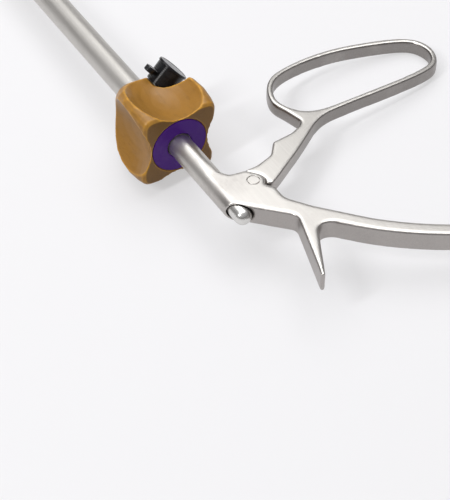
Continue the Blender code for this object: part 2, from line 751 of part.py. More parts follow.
def make_jaw_pin(frame):
    """Pivot shared by both jaws."""
    half = TUBE_OUTER / 2 - 0.25
    pin = upright(rod(JAW_PIN / 2, -half, half, 20), pin_x(), 0)
    return finish(pin, "jaw_pin", frame, (pin_x(), 0, 0), roughness=0.25)


def jaw_outline():
    """Arm of a closed jaw: forward distance from the pin, and distance off the axis."""
    back = JAW_PIN_DEPTH + RUN
    swing = math.radians(JAW_OPEN)
    outer = TUBE_OUTER / 2
    tip = JAW_PIN_DEPTH + JAW_LENGTH
    root = [((back + v * math.sin(swing)) / math.cos(swing), v) for v in (JAW_GAP, outer)]
    step = tip - 17
    notch = arc(tip - 2.3, JAW_GAP + 0.25, 0.75, 195, -15, 8)
    nose = rounded([(tip - 1.2, JAW_GAP, 0), (tip, JAW_GAP + 0.2, 0.5), (tip, 3.7, 1.3),
                    (tip - 6, 4.05, 0)])
    return (root[::-1] + [(step, JAW_GAP), (step + 1.0, JAW_GAP + 0.75),
                          (tip - 5.0, JAW_GAP + 0.75), (tip - 4.0, JAW_GAP)]
            + notch + nose[1:])


def make_jaw(name, side, frame):
    """One jaw: half-round arm, crossed tang and its cam slot. side is +1 or -1 in Y."""
    reach = JAW_PIN_DEPTH + JAW_LENGTH
    flip = Matrix.Translation((pin_x(), 0, 0)) @ Matrix.Scale(-1, 4, (1, 0, 0))
    arm = prism(jaw_outline(), -6, 6)
    combine(arm, rod(TUBE_OUTER / 2, 0, reach + 2, 48), "INTERSECT")
    wedge = prism([(2, -4.9), (6, -4.4), (19, -2.0), (reach + 1, -1.7),
                   (reach + 1, 1.7), (19, 2.0), (6, 4.4), (2, 4.9)], -1, 7)
    moved(wedge, Matrix.Rotation(math.pi / 2, 4, "X") @ Matrix.Scale(-1, 4, (0, 0, 1)))
    combine(arm, wedge, "INTERSECT")
    swing = math.radians(JAW_OPEN)
    rest = (-DRIVE_REACH * math.cos(swing), DRIVE_REACH * math.sin(swing))
    shut = (-(DRIVE_REACH - STROKE), 0.0)
    wall = DRIVE_PIN / 2 + RUN + 0.7
    low = BLADE_THICK / 2 + RUN
    high = low + TANG_THICK
    hub = link(0, 0, 2.3, *rest, wall)
    root = [(0, -2.1), (JAW_PIN_DEPTH - 0.2, JAW_GAP + 0.1), (9, JAW_GAP + 0.1),
            (9, 3.4), (5.4, 3.6), (0, 2.2)]
    tang = join(prism(hub, low, high), prism(root, low, high))
    join(arm, tang)
    track = link(*shut, DRIVE_PIN / 2 + RUN, *rest, DRIVE_PIN / 2 + RUN)
    cut(arm, prism(track, -1, 4))
    cut(arm, upright(rod(JAW_PIN / 2 + RUN, -10, 10, 20), 0, 0))
    moved(arm, flip)
    if side < 0:
        moved(arm, Matrix.Rotation(math.pi, 4, "X"))
    jaw = finish(arm, name, frame, (pin_x(), 0, 0), roughness=0.4)
    jaw.data.flip_normals()
    jaw.rotation_euler = (0, 0, -side * swing)
    return jaw


def lean_angles():
    """Roll and pitch that let the knob, housing and ring lever touch the surface."""
    side = KNOB_HALF - KNOB_CORNER
    reach = TUBE_END + FIT + HOUSING_LENGTH - KNOB_WIDEST
    roll = pitch = 0.0
    for _ in range(20):
        turn = roll + math.radians(KNOB_PHASE)
        height = side * (math.cos(turn) + math.sin(turn)) + KNOB_CORNER
        pitch = math.asin((height - TUBE_OUTER / 2) / reach)
        drop = height + KNOB_WIDEST * math.sin(pitch)
        roll = math.asin((drop - LEVER_THICK / 2 * math.cos(roll)) / LEVER_END)
    return roll, pitch


def set_down(frame):
    """Bring the lowest point to the ground and centre the model over the origin."""
    bpy.context.view_layer.update()
    points = [obj.matrix_world @ vert.co for obj in bpy.data.objects
              if obj.type == "MESH" for vert in obj.data.vertices]
    low = [min(p[k] for p in points) for k in range(3)]
    high = [max(p[k] for p in points) for k in range(3)]
    frame.location -= Vector(((low[0] + high[0]) / 2, (low[1] + high[1]) / 2, low[2]))
    bpy.context.view_layer.update()


def main():
    for obj in list(bpy.data.objects):
        bpy.data.objects.remove(obj)
    roll, pitch = lean_angles()
    table = empty("resting_place", rotation=(0, -pitch, 0))
    handle = empty("handle_frame", table, rotation=(-roll, 0, 0))
    rotor = empty("rotor_frame", handle, rotation=(-math.radians(KNOB_PHASE), 0, 0))
    rod_frame = empty("rod_frame", rotor)
    make_handle_body(handle)
    make_pivot_pin(handle)
    make_neck_parts(handle)
    make_ring_lever(handle)
    make_knob(rotor)
    make_knob_collar(rotor)
    make_flush_port(rotor)
    make_port_cap(rotor)
    make_outer_tube(rotor)
    make_rod_seal(rotor)
    make_jaw_housing(rotor)
    make_guide_screw(rotor)
    make_thread_collar(rotor)
    make_jaw_spring(rotor)
    make_rod_parts(rod_frame)
    make_jaw_pin(rotor)
    make_jaw("jaw_left", 1, rotor)
    make_jaw("jaw_right", -1, rotor)
    set_down(table)


main()
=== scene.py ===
"""Laparoscopic clip applier: finishes, fine pieces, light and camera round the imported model."""

import json
import math

import bpy
from mathutils import Matrix, Vector


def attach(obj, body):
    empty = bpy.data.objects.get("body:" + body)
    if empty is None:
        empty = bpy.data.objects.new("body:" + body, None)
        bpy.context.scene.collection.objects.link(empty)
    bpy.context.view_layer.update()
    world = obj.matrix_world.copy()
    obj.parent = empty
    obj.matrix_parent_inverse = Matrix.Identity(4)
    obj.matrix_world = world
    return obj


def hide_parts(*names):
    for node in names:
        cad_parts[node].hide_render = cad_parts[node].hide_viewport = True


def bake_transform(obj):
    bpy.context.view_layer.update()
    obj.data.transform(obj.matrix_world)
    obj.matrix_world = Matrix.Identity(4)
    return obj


bl_info = {
    "name": "Clip Applier Dressing",
    "version": (1, 0, 0),
    "blender": (4, 5, 0),
    "location": "View3D > Sidebar > Clip Applier",
    "description": "Finishes and fine pieces of a laparoscopic clip applier",
    "category": "Object",
}

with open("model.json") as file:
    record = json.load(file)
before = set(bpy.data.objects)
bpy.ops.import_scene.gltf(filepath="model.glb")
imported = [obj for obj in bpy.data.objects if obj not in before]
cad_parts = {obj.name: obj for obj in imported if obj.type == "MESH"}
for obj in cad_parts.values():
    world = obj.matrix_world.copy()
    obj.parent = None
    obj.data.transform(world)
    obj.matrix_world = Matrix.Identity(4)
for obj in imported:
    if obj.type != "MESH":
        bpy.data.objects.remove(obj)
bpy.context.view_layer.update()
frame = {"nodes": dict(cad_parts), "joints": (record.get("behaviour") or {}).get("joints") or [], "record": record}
JOINTS = {joint["name"]: joint for joint in frame["joints"]}
SLOTS = {entry["slot"]: tuple(entry["base_color"]) for entry in frame["record"]["materials"]}
MM = 0.001

# Places in the instrument's own frame, in millimetres, as the CAD has them
PIVOT_X = 31.6
PIVOT_Y = 9.9
PORT_X = 26.0
PORT_ANGLE = 45.0
FLATS_START = 22.0
PLATE_HALF = 3.85
NECK_RADIUS = 4.25
TUBE_END = 284.8
HOUSING_GAP = 0.2
HOUSING_REAR = -(TUBE_END + HOUSING_GAP)
SCREW_REACH = 8.4
SCREW_X = HOUSING_REAR - SCREW_REACH

# Round pieces: their sides, and the steps to one turn of a helix
SIDES = 48
CAP_SIDES = 72
TAB_SIDES = 40
THREAD_STEPS = 32
COIL_STEPS = 40
WIRE_SIDES = 14

# Handle plate and its pivot pin, in millimetres
RUN_OUT = 8.0
NEAR = 0.02
BORE_REACH = 2.4
POCKET_RADIUS = 2.25
POCKET_DEPTH = 0.4
POCKET_LENGTH = 1.0
PIN_RADIUS = 2.0
PIN_RECESS = 0.02
PIN_BREAK = 0.06
PIN_NOSE = 1.9
PIN_CENTRE = 0.4

# Port cap and its tab, as heights and radii in millimetres on the port's axis
STUB_TOP = 12.8
CAP_BORE = 3.2
CAP_FOOT = 8.5
CAP_TOP = 17.0
CAP_BOSS = 2.2
CAP_CENTRE = 0.9
TAB_FOOT = 10.8
TAB_TOP = 12.8
TAB_RADIUS = 2.0
TAB_NECK_WIDTH = 2.6
TAB_NECK_THICKNESS = 1.5
TAB_NECK_OVERLAP = 0.8
TAB_NECK_ROUND = 0.35

# Guide screw, thread collar and coil, in millimetres
SHANK_FOOT = 1.4
SHANK_RADIUS = 0.7
SCREW_SEAT = 3.6
SCREW_TOP = 4.75
SCREW_RADIUS = 2.1
SLOT_LENGTH = 6.0
SLOT_WIDTH = 0.55
SLOT_DEPTH = 0.55
COLLAR_END = 2.2
COLLAR_RADIUS = 3.5
COLLAR_LENGTH = 5.0
COLLAR_CHAMFER = 0.3
COLLAR_START = 0.01
THREAD_RADIUS = 3.45
THREAD_START = 0.45
THREAD_HEIGHT = 0.32
THREAD_PITCH = 0.58
THREAD_TURNS = 6
COIL_FRONT = 5.35
COIL_LENGTH = 8.5
COIL_WIRE = 0.8
COIL_RADIUS = 3.2
COIL_TURNS = 7

# Edges: widths and welds in millimetres, angles in degrees
FINE_EDGE = 0.1
COLLAR_EDGE = 0.12
WELD = 0.001
COPY_WELD = 0.002
FLAT_BEND = 0.4
EDGE_BEND = 38.0

# Skins: smoothing passes, and how convexity in cells becomes the edge mask
PLATE_PASSES = 36
RING_PASSES = 44
KNOB_PASSES = 4
RIDGE_RISE = 0.055
RIDGE_FLOOR = 0.25
RIDGE_BLURS = 3

# Camera, in the handle's frame: millimetres, and the lens and its sensor
CAMERA_AT = Vector((342.07, -188.065, 335.648))
CAMERA_AIM = Vector((51.651, -13.08, 0.0))
CAMERA_LENS = 72.0
CAMERA_SENSOR = 24.0

# Lamps: place and size in metres, and watts
LAMPS = {
    "overhead": ((-0.30, 0.10, 1.10), (1.2, 1.2), 7.7),
    "long_box": ((-0.29, 0.33, 0.74), (1.10, 0.44), 2.4),
    "strip": ((0.20, -0.85, 0.98), (0.14, 0.50), 8.0),
}

# Surroundings: colour by height, from the horizon to overhead
HORIZON = (0.88, 0.88, 0.89)
SKY_BANDS = {
    0.08: (0.72, 0.72, 0.725),
    0.18: (0.13, 0.123, 0.116),
    0.80: (0.5, 0.5, 0.51),
}
FLOOR_SIZE = 12.0


# Frames of the moving parts

def turned(square):
    """Matrix that turns X along the tube and Z along a hinge's axis."""
    along = Vector(JOINTS["knob_spin"]["axis"]).normalized()
    square = Vector(square).normalized()
    return Matrix((along, square.cross(along), square)).transposed().to_4x4()


def handle_frame():
    """Frame of the handle: X along the tube, Z square to the plate, X = 0 on the knob's rear."""
    hinge = JOINTS["lever_hinge"]
    turn = turned(-Vector(hinge["axis"]))
    pivot = turn @ (Vector((PIVOT_X, PIVOT_Y, 0)) * MM)
    return Matrix.Translation(Vector(hinge["pos_m"]) - pivot) @ turn


def rotor_frame():
    """Frame of the knob, tube and jaws."""
    return Matrix.Translation(HANDLE.translation) @ turned(JOINTS["left_jaw_hinge"]["axis"])


HANDLE = handle_frame()
ROTOR = rotor_frame()
TURN_TO_X = Matrix.Rotation(math.pi / 2, 4, "Y")
PORT = (ROTOR @ Matrix.Translation((-PORT_X * MM, 0, 0))
        @ Matrix.Rotation(-math.radians(PORT_ANGLE), 4, "X"))


# Sizes and colours

class SteelFinish(bpy.types.PropertyGroup):
    """Colours and surface of the steel."""

    face_colour: bpy.props.FloatVectorProperty(
        name="Face colour", description="Colour of the satin steel faces",
        subtype="COLOR", size=3, min=0, max=1, default=SLOTS["brushed_steel"])
    wall_colour: bpy.props.FloatVectorProperty(
        name="Wall colour", description="Colour of the blasted side walls",
        subtype="COLOR", size=3, min=0, max=1, default=(0.40, 0.376, 0.36))
    polish_colour: bpy.props.FloatVectorProperty(
        name="Polish colour", description="Colour of the polished steel",
        subtype="COLOR", size=3, min=0, max=1, default=SLOTS["polished_steel"])
    satin: bpy.props.FloatProperty(
        name="Satin", description="Roughness of the ground faces",
        subtype="FACTOR", min=0, max=1, default=0.34)
    edge_break: bpy.props.FloatProperty(
        name="Edge break", description="Width of the deburred edges of the housing and jaws",
        subtype="DISTANCE", unit="LENGTH", min=0, default=0.12 * MM)
    round_edge: bpy.props.FloatProperty(
        name="Round edge", description="Cell of the levers' ground skin, which rounds their edges",
        subtype="DISTANCE", unit="LENGTH", min=0.1 * MM, default=0.3 * MM)


class KnobFinish(bpy.types.PropertyGroup):
    """Colours of the knob and its fittings."""

    ochre: bpy.props.FloatVectorProperty(
        name="Ochre", description="Colour of the knob",
        subtype="COLOR", size=3, min=0, max=1, default=(0.31, 0.149, 0.024))
    violet: bpy.props.FloatVectorProperty(
        name="Violet", description="Colour of the disc in the knob's rear face",
        subtype="COLOR", size=3, min=0, max=1, default=(0.07, 0.003, 0.235))
    rubber: bpy.props.FloatVectorProperty(
        name="Rubber", description="Colour of the port cap and the seal",
        subtype="COLOR", size=3, min=0, max=1, default=(0.006, 0.006, 0.0075))
    round_edge: bpy.props.FloatProperty(
        name="Round edge", description="Cell of the knob's moulded skin, which rounds its edges",
        subtype="DISTANCE", unit="LENGTH", min=0.1 * MM, default=0.33 * MM)


class CapSizes(bpy.types.PropertyGroup):
    """Sizes of the rubber cap."""

    diameter: bpy.props.FloatProperty(
        name="Diameter", description="Diameter of the cap's skirt",
        subtype="DISTANCE", unit="LENGTH", default=10.4 * MM)
    rim: bpy.props.FloatProperty(
        name="Rim", description="Diameter of the cap's rim",
        subtype="DISTANCE", unit="LENGTH", default=11.8 * MM)
    tab_reach: bpy.props.FloatProperty(
        name="Tab reach", description="Distance from the cap's axis to the end of its tab",
        subtype="DISTANCE", unit="LENGTH", default=10.3 * MM)


class StudioLight(bpy.types.PropertyGroup):
    """Light and ground of the stage."""

    ground: bpy.props.FloatVectorProperty(
        name="Ground", description="Colour of the floor",
        subtype="COLOR", size=3, min=0, max=1, default=(0.68, 0.675, 0.695))
    backdrop: bpy.props.FloatVectorProperty(
        name="Backdrop", description="Pale colour that the camera sees behind the object",
        subtype="COLOR", size=3, min=0, max=1, default=(1.0, 0.995, 1.0))
    shadow_lift: bpy.props.FloatProperty(
        name="Shadow lift", description="Share of the floor that shines by itself, as a light table",
        subtype="FACTOR", min=0, max=1, default=0.5)
    bounce: bpy.props.FloatProperty(
        name="Bounce", description="Share of the floor's colour that lights the object from below",
        subtype="FACTOR", min=0, max=1, default=0.4)
    lamp_power: bpy.props.FloatProperty(
        name="Lamp power", description="Scale of all lamps",
        subtype="FACTOR", min=0, soft_max=3, default=1.0)


# Modelling by hand, in steps that the pieces share

def clear_selection():
    """Leave object mode's selection empty."""
    if bpy.context.object and bpy.context.object.mode != "OBJECT":
        bpy.ops.object.mode_set(mode="OBJECT")
    bpy.ops.object.select_all(action="DESELECT")


def only(piece):
    """Make one piece the selected and active one."""
    clear_selection()
    piece.select_set(True)
    bpy.context.view_layer.objects.active = piece


def apply_modifier(piece, kind, **values):
    """Add a modifier with its values and apply it."""
    only(piece)
    modifier = piece.modifiers.new(kind.title(), kind)
    for name, value in values.items():
        setattr(modifier, name, value)
    bpy.ops.object.modifier_apply(modifier=modifier.name)


def lathe(name, stations, segments):
    """Solid turned about Z, grown from its first face; stations are (height, radius) in mm."""
    clear_selection()
    height, radius = stations[0]
    bpy.ops.mesh.primitive_circle_add(vertices=segments, radius=radius * MM,
                                      fill_type="NGON", location=(0, 0, height * MM))
    piece = bpy.context.object
    piece.name = name
    bpy.ops.object.mode_set(mode="EDIT")
    bpy.ops.mesh.select_all(action="SELECT")
    for (low, before), (high, after) in zip(stations, stations[1:]):
        bpy.ops.mesh.extrude_region_move(
            TRANSFORM_OT_translate={"value": (0, 0, (high - low) * MM)})
        scale = after / before
        bpy.ops.transform.resize(value=(scale, scale, 1), center_override=(0, 0, high * MM))
    bpy.ops.object.mode_set(mode="OBJECT")
    bpy.ops.object.transform_apply(location=True, rotation=True, scale=True)
    return piece


def block(size, place):
    """Block of a size at a place, both in millimetres."""
    clear_selection()
    bpy.ops.mesh.primitive_cube_add(size=1, location=Vector(place) * MM)
    piece = bpy.context.object
    piece.scale = Vector(size) * MM
    bpy.ops.object.transform_apply(location=True, rotation=True, scale=True)
    return piece


def hoop(name, corners, radius, place, turn):
    """Closed loop of edges to sweep: radius and place in millimetres, turn in radians."""
    clear_selection()
    bpy.ops.mesh.primitive_circle_add(vertices=corners, radius=radius * MM, fill_type="NOTHING",
                                      location=Vector(place) * MM, rotation=turn)
    piece = bpy.context.object
    piece.name = name
    bpy.ops.object.transform_apply(location=True, rotation=True, scale=True)
    return piece


def sweep(loop, pitch, turns, steps):
    """Turn a closed loop into a helix about Z and close its ends."""
    apply_modifier(loop, "SCREW", axis="Z", angle=2 * math.pi, screw_offset=pitch * MM,
                   iterations=turns, steps=steps, render_steps=steps, use_smooth_shade=True)
    bpy.ops.object.mode_set(mode="EDIT")
    bpy.ops.mesh.select_all(action="SELECT")
    bpy.ops.mesh.remove_doubles(threshold=WELD * MM)
    bpy.ops.mesh.fill_holes(sides=0)
    bpy.ops.object.mode_set(mode="OBJECT")
    return loop


def settle(piece, place, smooth=35.0):
    """Turn the faces outwards, shade the piece and put its place in its mesh."""
    only(piece)
    bpy.ops.object.mode_set(mode="EDIT")
    bpy.ops.mesh.select_all(action="SELECT")
    bpy.ops.mesh.remove_doubles(threshold=WELD * MM)
    bpy.ops.mesh.normals_make_consistent(inside=False)
    bpy.ops.object.mode_set(mode="OBJECT")
    bpy.ops.object.shade_smooth_by_angle(angle=math.radians(smooth))
    piece.matrix_world = place @ piece.matrix_world
    bpy.ops.object.transform_apply(location=True, rotation=True, scale=True)
    return piece


def merge(target, other):
    """Join another shell to a piece."""
    only(target)
    other.select_set(True)
    bpy.ops.object.join()
    return target


def carve(target, tool):
    """Take a tool's shape out of a piece."""
    apply_modifier(target, "BOOLEAN", operation="DIFFERENCE", object=tool, solver="EXACT")
    bpy.data.objects.remove(tool)


def copy_of(node):
    """Copy of a CAD node's mesh as a new piece, its loose triangles merged."""
    piece = bpy.data.objects.new(node + "_finished", frame["nodes"][node].data.copy())
    bpy.context.scene.collection.objects.link(piece)
    only(piece)
    bpy.ops.object.mode_set(mode="EDIT")
    bpy.ops.mesh.select_all(action="SELECT")
    bpy.ops.mesh.remove_doubles(threshold=COPY_WELD * MM)
    bpy.ops.object.mode_set(mode="OBJECT")
    return piece


def mark_edges(piece):
    """Keep the faces of the second material, which are the broken edges, in an edge attribute."""
    values = [float(face.material_index == 1) for face in piece.data.polygons]
    layer = piece.data.attributes.new("edge", "FLOAT", "FACE")
    layer.data.foreach_set("value", values)
    piece.data.polygons.foreach_set("material_index", [0] * len(values))
    piece.data.update()


def machined(node, width):
    """Copy of a CAD node with its flats merged and its edges broken by a narrow round."""
    piece = copy_of(node)
    bpy.ops.object.mode_set(mode="EDIT")
    bpy.ops.mesh.select_all(action="SELECT")
    bpy.ops.mesh.dissolve_limited(angle_limit=math.radians(FLAT_BEND))
    bpy.ops.object.mode_set(mode="OBJECT")
    piece.data.materials.clear()
    for _ in range(2):
        piece.data.materials.append(None)
    bpy.ops.object.shade_smooth()
    apply_modifier(piece, "BEVEL", width=width, segments=2, limit_method="ANGLE",
                   angle_limit=math.radians(EDGE_BEND), use_clamp_overlap=True, material=1)
    apply_modifier(piece, "WEIGHTED_NORMAL", mode="FACE_AREA", weight=100)
    mark_edges(piece)
    return piece


def rounded(node, place, cell, passes, reshape=None):
    """Copy of a CAD node with one fine even skin, its edges rounded over by smoothing passes.

    The skin is laid in the piece's own frame, so that its flats stay flat.
    """
    piece = copy_of(node)
    piece.data.transform(place.inverted())
    if reshape:
        reshape(piece)
    apply_modifier(piece, "REMESH", mode="VOXEL", voxel_size=cell, use_smooth_shade=True)
    apply_modifier(piece, "SMOOTH", factor=0.5, iterations=passes)
    mark_ridges(piece, cell)
    piece.data.transform(place)
    return piece


def mark_ridges(piece, cell):
    """Keep how convex a skin is at each point in its edge attribute."""
    mesh = piece.data
    ring = [[] for _ in mesh.vertices]
    for one, two in (edge.vertices for edge in mesh.edges):
        ring[one].append(two)
        ring[two].append(one)
    spots = [vert.co.copy() for vert in mesh.vertices]
    values = []
    for vert, near in zip(mesh.vertices, ring):
        middle = sum((spots[k] for k in near), Vector()) / max(1, len(near))
        values.append((spots[vert.index] - middle).dot(vert.normal) / (RIDGE_RISE * cell))
    for _ in range(RIDGE_BLURS):
        values = [(value + sum(values[k] for k in near)) / (1 + len(near))
                  for value, near in zip(values, ring)]
    layer = mesh.attributes.new("edge", "FLOAT", "POINT")
    layer.data.foreach_set("value", [min(1.0, max(0.0, value - RIDGE_FLOOR)) for value in values])


def paint(piece, material):
    """Give a piece its one material."""
    piece.data.materials.clear()
    piece.data.materials.append(material)
    return piece


def stand_in(piece, node, body, material):
    """Let a finished piece show in place of a CAD node, on its body."""
    paint(piece, material)
    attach(piece, body)
    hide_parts(node)


# Shader groups

def feed(tree, value, socket):
    """Link an output to a socket, or set the socket's own value."""
    if hasattr(value, "is_linked"):
        tree.links.new(value, socket)
    else:
        socket.default_value = (*value, 1.0) if socket.type == "RGBA" else value


def new_group(name, inputs, outputs):
    """Empty shader group and its two ends; an input that starts at None is a vector."""
    group = bpy.data.node_groups.new(name, "ShaderNodeTree")
    for label, start in inputs.items():
        kind = "NodeSocketVector" if start is None else "NodeSocketFloat"
        socket = group.interface.new_socket(label, in_out="INPUT", socket_type=kind)
        if start is not None:
            socket.default_value = start
    for label in outputs:
        group.interface.new_socket(label, in_out="OUTPUT", socket_type="NodeSocketFloat")
    return (group, group.nodes.new("NodeGroupInput").outputs,
            group.nodes.new("NodeGroupOutput").inputs)


def math_node(tree, operation, *values, clamp=False):
    """Math node of one or two values or outputs."""
    node = tree.nodes.new("ShaderNodeMath")
    node.operation = operation
    node.use_clamp = clamp
    for value, socket in zip(values, node.inputs):
        feed(tree, value, socket)
    return node.outputs[0]


def noise(tree, vector, scale, detail, roughness=0.5):
    """Noise value at a scale per metre."""
    node = tree.nodes.new("ShaderNodeTexNoise")
    for label, value in (("Vector", vector), ("Scale", scale), ("Detail", detail),
                         ("Roughness", roughness)):
        feed(tree, value, node.inputs[label])
    return node.outputs["Fac"]


def spread(tree, value, low, high, out_low=0.0, out_high=1.0):
    """Stretch a value between two limits."""
    node = tree.nodes.new("ShaderNodeMapRange")
    for label, number in (("Value", value), ("From Min", low), ("From Max", high),
                          ("To Min", out_low), ("To Max", out_high)):
        feed(tree, number, node.inputs[label])
    return node.outputs["Result"]


def grain_group():
    """Brushed lines along the X of a vector, as a height and as a change of tone."""
    group, given, out = new_group(
        "Brushed grain", {"Vector": None, "Length": 45.0, "Fineness": 2600.0}, ("Height", "Tone"))
    split = group.nodes.new("ShaderNodeSeparateXYZ")
    group.links.new(given["Vector"], split.inputs[0])
    join = group.nodes.new("ShaderNodeCombineXYZ")
    for axis, size in (("X", "Length"), ("Y", "Fineness"), ("Z", "Fineness")):
        scaled = math_node(group, "MULTIPLY", split.outputs[axis], given[size])
        group.links.new(scaled, join.inputs[axis])
    fine = noise(group, join.outputs[0], 1.0, 3.0, 0.6)
    group.links.new(fine, out["Height"])
    broad = noise(group, join.outputs[0], 0.23, 2.0)
    tone = math_node(group, "ADD", math_node(group, "MULTIPLY", fine, 0.6),
                     math_node(group, "MULTIPLY", broad, 0.4))
    group.links.new(spread(group, tone, 0.35, 0.65), out["Tone"])
    return group


def blasted_group():
    """Fine pits of a bead-blasted or moulded skin."""
    group, given, out = new_group(
        "Blasted skin", {"Vector": None, "Size": 3200.0}, ("Height", "Tone"))
    pits = noise(group, given["Vector"], given["Size"], 4.0, 0.65)
    group.links.new(pits, out["Height"])
    group.links.new(spread(group, pits, 0.3, 0.7), out["Tone"])
    return group


def handling_group():
    """Faint smears and wiped streaks from handling, as a mask."""
    group, given, out = new_group("Handling marks", {"Vector": None, "Amount": 0.5}, ("Mask",))
    smear = spread(group, noise(group, given["Vector"], 55.0, 5.0, 0.6), 0.48, 0.72)
    dust = spread(group, noise(group, given["Vector"], 900.0, 2.0), 0.35, 0.6, 0.55, 1.0)
    both = math_node(group, "MULTIPLY", smear, dust)
    mask = math_node(group, "MULTIPLY", both, given["Amount"], clamp=True)
    group.links.new(mask, out["Mask"])
    return group


def worn_edge_group():
    """Where a broken edge shines through: reads the edge attribute and frays it a little."""
    group, given, out = new_group(
        "Worn edge", {"Edge": 0.0, "Vector": None, "Strength": 1.0}, ("Mask",))
    fray = spread(group, noise(group, given["Vector"], 700.0, 3.0), 0.3, 0.6, 0.45, 1.0)
    both = math_node(group, "MULTIPLY", given["Edge"], fray)
    mask = math_node(group, "MULTIPLY", both, given["Strength"], clamp=True)
    group.links.new(mask, out["Mask"])
    return group


def shared_group(name):
    """One of the shader groups, made on its first use."""
    makers = {"Brushed grain": grain_group, "Blasted skin": blasted_group,
              "Handling marks": handling_group, "Worn edge": worn_edge_group}
    return bpy.data.node_groups.get(name) or makers[name]()


def tinted(colour, factor):
    """A colour made lighter or darker."""
    return tuple(min(1.0, channel * factor) for channel in colour)


class Surface:
    """A material in the making, with its Principled shader and the piece's own coordinates."""

    def __init__(self, name, place=Matrix.Identity(4)):
        self.material = bpy.data.materials.new(name)
        self.material.use_nodes = True
        self.tree = self.material.node_tree
        self.shader = self.tree.nodes["Principled BSDF"]
        coords = self.tree.nodes.new("ShaderNodeTexCoord")
        mapping = self.tree.nodes.new("ShaderNodeMapping")
        mapping.vector_type = "TEXTURE"
        mapping.inputs["Location"].default_value = place.translation
        mapping.inputs["Rotation"].default_value = place.to_euler("XYZ")
        self.tree.links.new(coords.outputs["Object"], mapping.inputs["Vector"])
        self.turn = place.to_3x3()
        self.vector = mapping.outputs["Vector"]
        self.normal = coords.outputs["Normal"]

    def group(self, name, **values):
        """Outputs of a shared group, placed on this surface's coordinates."""
        node = self.tree.nodes.new("ShaderNodeGroup")
        node.node_tree = shared_group(name)
        self.tree.links.new(self.vector, node.inputs["Vector"])
        for label, value in values.items():
            feed(self.tree, value, node.inputs[label.capitalize()])
        return node.outputs

    def edge(self):
        """The mesh attribute that marks edges."""
        node = self.tree.nodes.new("ShaderNodeAttribute")
        node.attribute_name = "edge"
        return node.outputs["Fac"]

    def along(self, axis):
        """Place along one of the surface's own axes."""
        split = self.tree.nodes.new("ShaderNodeSeparateXYZ")
        self.tree.links.new(self.vector, split.inputs[0])
        return split.outputs[axis]

    def corner(self, x_low, x_high, y_low, y_high):
        """Mask that rises from low to high along X and along Y, in millimetres."""
        return self.product(spread(self.tree, self.along("X"), x_low * MM, x_high * MM),
                            spread(self.tree, self.along("Y"), y_low * MM, y_high * MM))

    def product(self, first, second):
        """Two masks or values multiplied."""
        return math_node(self.tree, "MULTIPLY", first, second)

    def mix(self, mask, first, second):
        """Colour or value between two, by a mask."""
        node = self.tree.nodes.new("ShaderNodeMix")
        colour = not all(isinstance(v, (int, float)) or getattr(v, "type", "") == "VALUE"
                         for v in (first, second))
        node.data_type = "RGBA" if colour else "FLOAT"
        first_slot, second_slot, result = (6, 7, 2) if colour else (2, 3, 0)
        feed(self.tree, mask, node.inputs[0])
        feed(self.tree, first, node.inputs[first_slot])
        feed(self.tree, second, node.inputs[second_slot])
        return node.outputs[result]

    def tones(self, mask, colour, low, high):
        """A colour between its darker and its lighter tone, by a mask."""
        return self.mix(mask, tinted(colour, low), tinted(colour, high))

    def bump(self, height, distance, strength, below=None):
        """Relief of a height in millimetres, over another relief."""
        node = self.tree.nodes.new("ShaderNodeBump")
        node.inputs["Strength"].default_value = strength
        node.inputs["Distance"].default_value = distance * MM
        self.tree.links.new(height, node.inputs["Height"])
        if below is not None:
            self.tree.links.new(below, node.inputs["Normal"])
        return node.outputs["Normal"]

    def facing(self, axis, low, high):
        """Mask of the faces square to one of the surface's own axes, on either side."""
        node = self.tree.nodes.new("ShaderNodeVectorMath")
        node.operation = "DOT_PRODUCT"
        self.tree.links.new(self.normal, node.inputs[0])
        node.inputs[1].default_value = self.turn @ Vector(axis)
        flat = math_node(self.tree, "ABSOLUTE", node.outputs["Value"])
        return spread(self.tree, flat, low, high)

    def set(self, colour, roughness, normal=None, metallic=0.0, **constants):
        """Feed the shader: links for what varies, plain values for what doesn't."""
        feed(self.tree, colour, self.shader.inputs["Base Color"])
        feed(self.tree, roughness, self.shader.inputs["Roughness"])
        if normal is not None:
            self.tree.links.new(normal, self.shader.inputs["Normal"])
        self.shader.inputs["Metallic"].default_value = metallic
        for label, value in constants.items():
            self.shader.inputs[label.replace("_", " ")].default_value = value
        return self.material


# Materials

